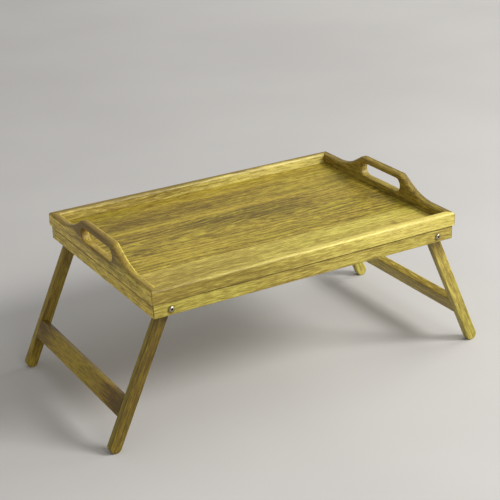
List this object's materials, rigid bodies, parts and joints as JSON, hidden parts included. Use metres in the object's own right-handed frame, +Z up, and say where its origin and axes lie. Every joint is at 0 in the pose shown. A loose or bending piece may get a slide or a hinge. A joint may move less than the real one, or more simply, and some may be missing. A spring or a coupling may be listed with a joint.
{
  "type": "folding tray table",
  "caption": "Wooden serving tray with raised finger handles at both ends, standing on splayed leg frames that fold flat under its floor.",
  "frame": {"origin": "on the ground, under the middle of the tray", "axes": "+X along the tray to the right end, +Y across it to the back, +Z up; the legs stand at rest"},
  "size_m": [0.6324, 0.34, 0.2592],
  "materials": {
    "rail_wood": "clear satin lacquer over yellow-olive wood",
    "handle_wood": "clear satin lacquer over brown-olive wood",
    "floor_light_wood": "clear satin lacquer, straight light grain",
    "floor_wood": "clear satin lacquer, swirled grain with brown patches",
    "apron_wood": "clear satin lacquer over yellow-olive wood",
    "leg_wood": "clear satin lacquer over olive-brown wood",
    "stretcher_wood": "clear satin lacquer over brown wood",
    "dowel_wood": "plain fluted beech, unfinished",
    "bolt_steel": "polished nickel-plated steel",
    "nut_steel": "zinc-plated steel"
  },
  "bodies": {
    "tray": {"front_rail": "rail_wood", "back_rail": "rail_wood", "left_handle_board": "handle_wood", "right_handle_board": "handle_wood", "floor_board_front": "floor_light_wood", "floor_board_wide": "floor_wood", "floor_board_rear": "floor_wood", "floor_board_back_strip": "floor_light_wood", "front_apron": "apron_wood", "back_apron": "apron_wood", "left_apron": "apron_wood", "right_apron": "apron_wood", "frame_dowels": "dowel_wood", "front_left_pivot_bolt": "bolt_steel", "back_left_pivot_bolt": "bolt_steel", "front_right_pivot_bolt": "bolt_steel", "back_right_pivot_bolt": "bolt_steel", "front_left_pivot_nut": "nut_steel", "back_left_pivot_nut": "nut_steel", "front_right_pivot_nut": "nut_steel", "back_right_pivot_nut": "nut_steel", "front_left_washers": "nut_steel", "back_left_washers": "nut_steel", "front_right_washers": "nut_steel", "back_right_washers": "nut_steel"},
    "left_leg_frame": {"front_left_leg": "leg_wood", "back_left_leg": "leg_wood", "left_stretcher": "stretcher_wood", "left_stretcher_dowels": "dowel_wood"},
    "right_leg_frame": {"front_right_leg": "leg_wood", "back_right_leg": "leg_wood", "right_stretcher": "stretcher_wood", "right_stretcher_dowels": "dowel_wood"}
  },
  "joints": [
    {"name": "right_leg_frame_fold", "type": "hinge", "parent": "tray", "child": "right_leg_frame", "pos_m": [0.22101, 0, 0.2002], "axis": [0, 1, 0], "range_deg": [0, 114.3]},
    {"name": "left_leg_frame_fold", "type": "hinge", "parent": "tray", "child": "left_leg_frame", "pos_m": [-0.22101, 0, 0.2002], "axis": [0, -1, 0], "range_deg": [0, 114.3]}
  ]
}
